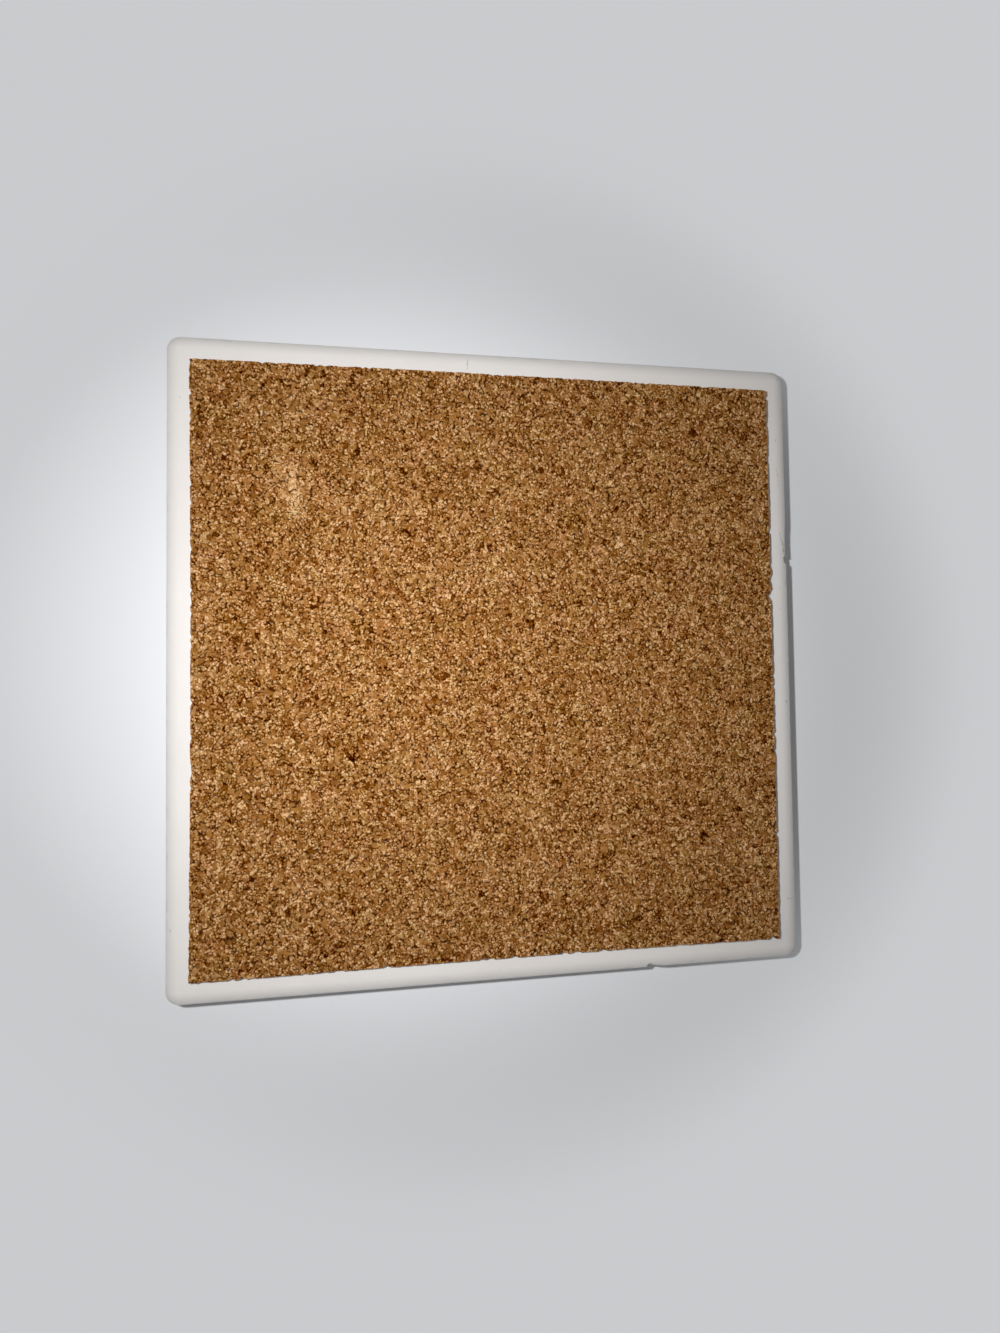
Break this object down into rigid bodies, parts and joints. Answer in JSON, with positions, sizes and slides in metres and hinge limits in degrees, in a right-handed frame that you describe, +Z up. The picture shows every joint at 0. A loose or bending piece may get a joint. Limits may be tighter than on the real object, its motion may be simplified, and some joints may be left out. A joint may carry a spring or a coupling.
{
  "type": "drink coaster",
  "caption": "Square unglazed ceramic drink coaster with rounded corners and softly pillowed edges, backed by a glued cork sheet that leaves a bare rim, stored cork side up.",
  "frame": {"origin": "middle of the drinking face, which lies on the table because the coaster is stored turned over", "axes": "+Z points up out of the cork backing, X and Y run along the square's sides; turn half a turn about X for use"},
  "size_m": [0.1, 0.1, 0.0101],
  "materials": {
    "bisque_ceramic": "warm white unglazed bisque, matt, with a faint sheen on the pillowed edges",
    "adhesive": "thin cured glue film, dull amber",
    "cork": "agglomerated cork granules, tan to dark brown, matt and slightly crumbly at the cut edges"
  },
  "bodies": {
    "root": {"ceramic_tile": "bisque_ceramic", "adhesive_film": "adhesive", "cork_backing": "cork"}
  },
  "joints": []
}
